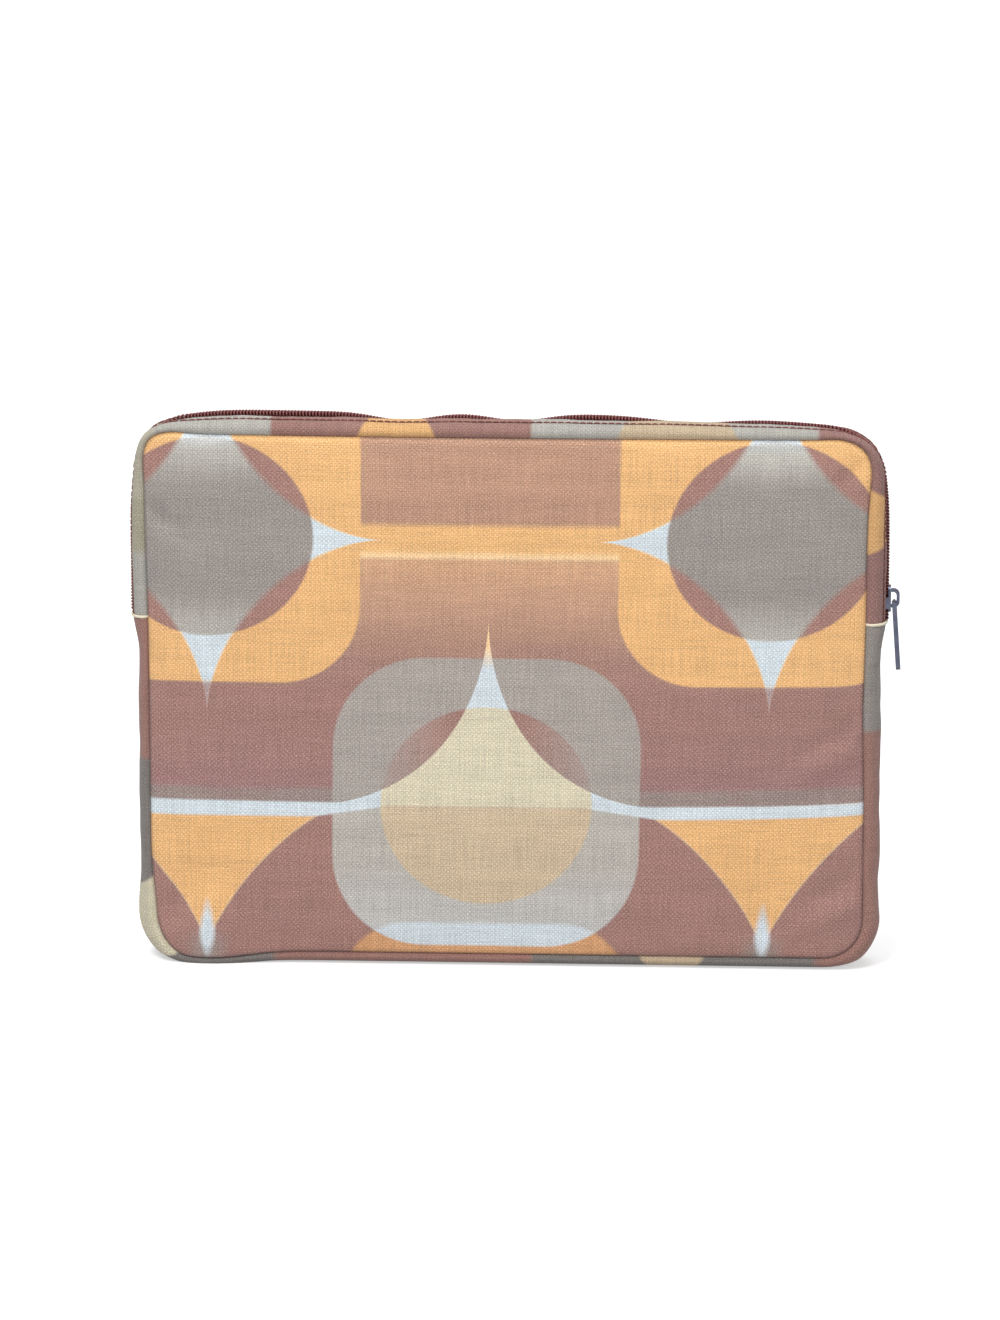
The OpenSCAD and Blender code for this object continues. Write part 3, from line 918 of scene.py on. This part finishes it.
def zip_band(name, side):
    """Half the zip gusset, from the panel seam to the folded hem beside the coil."""
    s = stretch(RIGHT_END_S, LEFT_END_S, 1.5 * MM)[:, None]
    section = smooth_line(HEM, 44) * MM
    r, y = section[:, 0][None, :], section[:, 1][None, :]
    hem = np.where(r > 2 * MM, np.clip((11.5 * MM - y) / (5.5 * MM), 0, 1), 0)
    run = arc_length(section)
    lift = hem_lift(s) if side < 0 else 0 * s
    wander = ripple(s, [(0.16, 47, 0.2), (0.10, 23, 0.7), (0.06, 11, 0.4)])
    lower = 0.3 * MM if side < 0 else -coil_rise(s)
    stitched = run[np.argmin(np.hypot(section[:, 0] - STITCH_R * MM, section[:, 1] - STITCH_Y * MM))]
    pinch = 0.35 * MM * bump_at(run[None, :], stitched, 0.6 * MM)
    reach = r + hem * (0.5 * MM * lift + wander - lower) - pinch
    depth = y - hem * (1.5 * MM * lift - 0.5 * wander)
    grid = on_gusset(s, reach, side * depth)
    return gusset_sheet(name, grid, s, LEFT_END_S - s, run * -side, CANVAS_T)


def base_band(name):
    """The plain gusset, from one zip end down round the bottom and up to the other."""
    s = stretch(LEFT_END_S, LOOP + RIGHT_END_S, 1.6 * MM)[:, None]
    half = [(r, -y) for r, y in BASE] + BASE[-2::-1]
    section = smooth_line(half, 56) * MM
    r, y = section[:, 0][None, :], section[:, 1][None, :]
    sides = smooth(from_bottom(s), HALF_W - 10 * MM, HALF_W + 12 * MM)
    dents = ripple(s + 0.6 * y, [(0.22, 43, 0.35), (0.14, 27, 0.8), (0.08, 15, 0.1)])
    crest = np.clip(r / (6 * MM), 0, 1)
    grid = on_gusset(s, r + crest * sides * dents, y)
    return gusset_sheet(name, grid, s, s - LEFT_END_S, arc_length(section), CANVAS_T)


def gusset_strip(name, start, end, section_mm, thickness, sink=0.0):
    """A strip following the gusset: tape, lining. The section is drawn as (r, y) in mm.

    sink is the share of the coil's rise and fall that the edge nearest the coil follows.
    """
    s = stretch(start, end, 2.0 * MM)[:, None]
    section = smooth_line(section_mm, 14) * MM
    r, y = section[:, 0][None, :], section[:, 1][None, :]
    grid = on_gusset(s, r + sink * coil_rise(s) * (1 - smooth(np.abs(y), 1 * MM, 7 * MM)), y)
    return gusset_sheet(name, grid, s, s - start, arc_length(section), thickness)


TOOTH = [(6.6, 3.0), (8.0, 3.1), (8.8, 2.5), (8.9, 0.6), (8.5, -0.1), (7.4, 0.6)]
TOOTH_PITCH, COIL_RADIUS, COIL_SIDES = 1.46 * MM, 0.4 * MM, 6


def coil(name, side):
    """The coil's turns: bent nylon loops, half a pitch out of step on the two sides."""
    s = np.arange(RIGHT_END_S + 1.0 * MM, LEFT_END_S - 1.0 * MM, TOOTH_PITCH)
    s = s + (TOOTH_PITCH / 2 if side > 0 else 0)
    section = smooth_line(TOOTH, 10) * MM
    lean = np.linspace(-0.25, 0.25, 10)[None, :] * MM
    along = s[:, None] + lean
    reach = section[None, :, 0] + coil_rise(s[:, None])
    paths = on_gusset(along, reach, side * section[None, :, 1])
    ahead = on_gusset(along + 0.1 * MM, reach, side * section[None, :, 1])
    return tube(name, rings(paths, ahead - paths, COIL_RADIUS, COIL_SIDES))


def stitches(name, side):
    """The row of lockstitches that holds the hem to the zip's tape."""
    s = np.arange(RIGHT_END_S + 2 * MM, LEFT_END_S - 2 * MM, STITCH_PITCH)
    t = np.linspace(-0.5, 0.5, 7)
    dip = 0.42 * (2 * np.abs(t)) ** 3
    lift = hem_lift(s[:, None]) if side < 0 else 0 * s[:, None]
    along = s[:, None] + t[None, :] * STITCH_LENGTH * MM
    lower = 0.15 * MM if side < 0 else -0.5 * coil_rise(s[:, None])
    reach = (STITCH_R + 0.05 + 0.3 * lift - dip[None, :]) * MM - lower
    depth = side * (STITCH_Y - 0.8 * lift) * MM
    paths = on_gusset(along, reach, depth)
    swell = STITCH_RADIUS * MM * np.sqrt(np.clip(1 - (1.9 * t) ** 4, 0.12, 1))
    ahead = on_gusset(along, reach + 0.1 * MM, depth)
    sections = rings(paths, ahead - paths, swell[None, :], 6)
    turn = np.arange(6) * 0.3 * MM
    uvs = np.stack(np.broadcast_arrays(along[:, :, None], turn[None, None, :]), axis=-1)
    return tube(name, sections, uvs.reshape(-1, 2))


CORD_SIDES = 10


def round_uvs(along, radius):
    """Cloth coordinates of one cord of CORD_SIDES sides: along it, and round it."""
    turn = np.arange(CORD_SIDES) * 2 * math.pi / CORD_SIDES * radius
    return np.stack(np.broadcast_arrays(along[:, None], turn[None, :]), axis=-1).reshape(-1, 2)


def cord(name, s, r, y, half_r, half_y):
    """A soft edging that follows the gusset: r, y and its half sizes are in mm."""
    paths = on_gusset(s, r * MM + 0 * s, y * MM + 0 * s)[None]
    side = np.zeros_like(paths)
    side[..., 1] = 1
    sections = rings(paths, side, half_y * MM, CORD_SIDES, flat=half_r / half_y)
    return tube(name, sections, round_uvs(s, half_y * MM))


SEAM_ROLL, SEAM_PROUD, SEAM_POINTS = 0.66 * MM, 0.35 * MM, 60


def end_seam(name, s):
    """The rolled hem across the gusset where the zip ends, at arc length s."""
    half = [(r, -y) for r, y in BASE[1:]] + [(r, y) for r, y in BASE[-2:0:-1]]
    section = smooth_line(half, SEAM_POINTS) * MM
    reach, depth = section[:, 0] + SEAM_PROUD, section[:, 1]
    paths = on_gusset(s + 0 * reach, reach, depth)[None]
    ahead = on_gusset(s + 0 * reach + 0.1 * MM, reach, depth)[None]
    fold = rings(paths, ahead - paths, SEAM_ROLL, CORD_SIDES, flat=0.85)
    return tube(name, fold, round_uvs(np.linspace(0, 40 * MM, SEAM_POINTS), SEAM_ROLL))


# ---------- how pieces move


def dress(obj, material, slot, *nodes, body=None):
    """Gives a piece its material and hides the CAD nodes named; with a body it moves with that body, and with
    none its transform is baked into the mesh.
    """
    obj.data.materials.append(material)
    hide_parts(*nodes)
    if body:
        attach(obj, body)
    else:
        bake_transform(obj)


# ---------- materials in use

ROLL_X, ROLL_Z = 90.0, -18.0


def back_print(g, u, v):
    """The same cloth, cut from further along the roll."""
    return printed_colour(g, g.add(u, ROLL_X), g.add(v, ROLL_Z))


front_canvas = canvas_material("front_canvas", printed_colour)
back_canvas = canvas_material("back_canvas", back_print)

# Places along the gusset's print, in mm from its left-hand zip end.
ARCH_PATCHES = [(30, GREIGE_PALE), (55, OLIVE), (84, CREAM_DULL), (133, GREIGE_PALE), (248, BROWN),
                (375, GREIGE_PALE), (476, MAUVE)]
ARCH_WEDGES = [(171, 206, ORANGE), (286, 340, SAND), (412, 442, ORANGE)]
CRADLE_PATCHES = [(65, BROWN), (200, SLATE), (315, BROWN), (443, SLATE), (559, BROWN), (610, GREIGE)]
CRADLE_WEDGES = [(118, 155, CREAM), (364, 393, SAND)]
ARCH_GAIN, CRADLE_GAIN = 1.35, 1.5
arch_canvas = canvas_material("arch_canvas", strip_colour(ARCH_PATCHES, ARCH_WEDGES, ARCH_GAIN))
cradle_canvas = canvas_material("cradle_canvas", strip_colour(CRADLE_PATCHES, CRADLE_WEDGES, CRADLE_GAIN))
lining_cloth = plain_cloth("lining_cloth", linear(72, 66, 66), pitch=0.35, rough=0.75, sheen=0.25, bump=0.05)
tape_cloth = plain_cloth("tape_cloth", linear(98, 50, 46), pitch=0.4, fuzz=0.06, rough=0.7, sheen=0.3)
binding_cloth = plain_cloth("binding_cloth", linear(86, 76, 72), pitch=0.45, sheen=0.3)
fold_cloth = plain_cloth("fold_cloth", linear(224, 214, 190), pitch=0.45, fuzz=0.06, rough=0.85)
coil_nylon = plastic_coil()
stitch_thread = thread_material("stitch_thread", linear(120, 58, 50))
metal = zip_metal()
foam = foam_material()

# ---------- the sleeve, piece by piece

for side, end in ((-1, "front"), (1, "back")):
    body = SLEEVE if side > 0 else None
    folds = loose_cloth(seed=4 + side)
    # Each layer: name, depth, thickness and inset in mm, material, slot.
    layers = [("panel", 0.0, 0.8, 0.0, front_canvas if side < 0 else back_canvas, "printed_canvas"),
              ("foam", 0.8, 3.0, 2.0, foam, "foam"),
              ("lining", 4.0, 0.5, 2.2, lining_cloth, "lining")]
    for layer, depth, thick, inset, material, slot in layers:
        name = f"{end}_{layer}"
        piece = panel_layer(name + "_soft", side, depth * MM, thick * MM, inset * MM, folds)
        nodes = [name] if side > 0 else [name + "_lower", name + "_flap"]
        dress(piece, material, slot, *nodes, body=body)

BAND_INNER = [(-1.6, 9.6), (1.4, 10.6), (3.6, 10.0), (5.4, 7.4), (6.6, 3.6), (6.8, 0.0)]
ZIP_LINING = [(-1.6, 9.4), (1.2, 10.4), (3.4, 9.8), (5.0, 7.6), (5.2, 5.6)]
TAPE = [(5.7, 10.8), (6.2, 8.0), (6.4, 4.0), (6.45, 0.65)]


def mirrored(section, side):
    return [(r, side * y) for r, y in section]


def dress_half(piece, material, slot, stem, side, tail=""):
    """Dresses half of the gusset. The back half moves with the sleeve; the front half has no body, and stands
    for two CAD nodes, which it hides.
    """
    if side > 0:
        dress(piece, material, slot, f"{stem}_back{tail}", body=SLEEVE)
    else:
        dress(piece, material, slot, f"{stem}_front{tail}_lower", f"{stem}_front{tail}")


ZIP_SPAN = RIGHT_END_S, LEFT_END_S
for side, end in ((-1, "front"), (1, "back")):
    dress_half(zip_band(f"zip_band_{end}_soft", side), arch_canvas, "printed_canvas", "zip_band", side)
    inner = gusset_strip(f"zip_band_{end}_lining_soft", *ZIP_SPAN, mirrored(ZIP_LINING, side), LINING_T)
    dress_half(inner, lining_cloth, "lining", "zip_band", side, "_lining")
    tape = gusset_strip(f"zip_tape_{end}_soft", *ZIP_SPAN, mirrored(TAPE, side), TAPE_T, sink=1.0)
    dress_half(tape, tape_cloth, "zip_tape", "zip_tape", side)
    dress_half(coil(f"zip_coil_{end}_soft", side), coil_nylon, "zip_coil", "zip_coil", side)
    dress_half(stitches(f"topstitch_{end}_soft", side), stitch_thread, "thread", "topstitch", side)
    edging = cord(f"seam_binding_{end}_soft", stretch(0, LOOP, 2.5 * MM), -3.5, side * 9.4, 2.3, 0.9)
    dress_half(edging, binding_cloth, "binding", "seam_binding", side)

dress(base_band("bottom_band_soft"), cradle_canvas, "printed_canvas", "bottom_band", body=SLEEVE)
inner_half = BAND_INNER + [(r, -y) for r, y in BAND_INNER[-2::-1]]
inner = gusset_strip("bottom_band_lining_soft", LEFT_END_S, LOOP + RIGHT_END_S, inner_half, LINING_T)
dress(inner, lining_cloth, "lining", "bottom_band_lining", body=SLEEVE)
for node, place in (("end_seam_left", LEFT_END_S), ("end_seam_right", RIGHT_END_S)):
    dress(end_seam(node + "_soft", place), fold_cloth, "seam_edge", node, body=SLEEVE)

METAL_EDGE, SHARP_ANGLE = 0.22 * MM, math.radians(40)
for node in ("slider_body", "slider_bridge", "pull_tab"):
    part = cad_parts[node]
    part.data.materials.clear()
    part.data.materials.append(metal)
    rounding = part.modifiers.new("rounding", "BEVEL")
    rounding.width = METAL_EDGE
    rounding.segments = 3
    rounding.limit_method = "ANGLE"
    rounding.angle_limit = SHARP_ANGLE

# ---------- studio

CAMERA_AZ, CAMERA_EL, CAMERA_FAR = math.radians(3), math.radians(13), 3.0
VIEW_HEIGHT, SENSOR = 590 * MM, 36
LOOK_Z, AIM_X, AIM_RISE = 0.122, -0.0034, 0.0165
FLOOR_SIZE = 12.0
WORLD_LIGHT, WORLD_SEEN = 0.38, 1.0


def look_from(azimuth, elevation, distance, target):
    """A place that far from the target; azimuth 0 is straight in front, and turns towards +X."""
    flat = math.cos(elevation)
    way = Vector((math.sin(azimuth) * flat, -math.cos(azimuth) * flat, math.sin(elevation)))
    return target + distance * way


def aim(obj, target):
    obj.rotation_euler = (target - obj.location).to_track_quat("-Z", "Y").to_euler()


def area_light(name, place, target, size, power):
    """A rectangular light aimed at the target; size is its width and height in metres, power is in watts."""
    light = bpy.data.lights.new(name, "AREA")
    light.shape = "RECTANGLE"
    light.size, light.size_y = size
    light.energy = power
    obj = bpy.data.objects.new(name, light)
    obj.location = place
    aim(obj, target)
    bpy.context.scene.collection.objects.link(obj)


def plain_floor():
    """A pale sheet that glows a little to the camera alone, so that it reads as an even white."""
    verts = [(x * FLOOR_SIZE, y * FLOOR_SIZE, 0) for x, y in ((-1, -1), (1, -1), (1, 1), (-1, 1))]
    floor = new_object("floor", verts, [(0, 1, 2, 3)], shade_smooth=False)
    g = Graph("floor_paper")
    spot = g.node("ShaderNodeTexCoord", output=3)
    grain = g.noise(spot, 300.0, 2.0)
    to_camera = g.node("ShaderNodeLightPath")
    away = g.node("ShaderNodeVectorMath", {0: spot}, output=1, operation="LENGTH")
    glow = g.add(0.52, g.math("MULTIPLY", g.sub(away, 0.4), 0.35, clamp=True))
    g.finish(Base_Color=linear(214, 214, 215), Roughness=g.add(0.86, g.mul(grain, 0.08)),
             Specular_IOR_Level=0.05, Emission_Color=(1, 1, 1, 1), Emission_Strength=g.mul(to_camera, glow))
    floor.data.materials.append(g.material)


plain_floor()
middle = Vector((0, 0, LOOK_Z))
area_light("key", Vector((-0.6, -1.5, 1.9)), middle, (0.8, 0.6), 34)
area_light("fill", Vector((1.5, -1.6, 0.8)), middle, (1.2, 1.2), 8)
area_light("top", Vector((0.1, -0.3, 2.2)), middle, (1.8, 1.2), 25)

world = bpy.data.worlds.new("studio")
world.use_nodes = True
backdrop = world.node_tree.nodes["Background"]
backdrop.inputs["Color"].default_value = (1, 1, 1, 1)
path = world.node_tree.nodes.new("ShaderNodeLightPath")
seen = world.node_tree.nodes.new("ShaderNodeMapRange")
seen.inputs["To Min"].default_value = WORLD_LIGHT
seen.inputs["To Max"].default_value = WORLD_SEEN
world.node_tree.links.new(path.outputs["Is Camera Ray"], seen.inputs["Value"])
world.node_tree.links.new(seen.outputs["Result"], backdrop.inputs["Strength"])
scene = bpy.context.scene
scene.world = world
scene.view_settings.view_transform = "Standard"

lens = bpy.data.cameras.new("camera")
lens.sensor_width = SENSOR
lens.lens = CAMERA_FAR / VIEW_HEIGHT * SENSOR
lens.clip_end = 50
camera = bpy.data.objects.new("camera", lens)
scene.collection.objects.link(camera)
target = Vector((AIM_X, 0, LOOK_Z + AIM_RISE))
camera.location = look_from(CAMERA_AZ, CAMERA_EL, CAMERA_FAR, target)
aim(camera, target)
scene.camera = camera
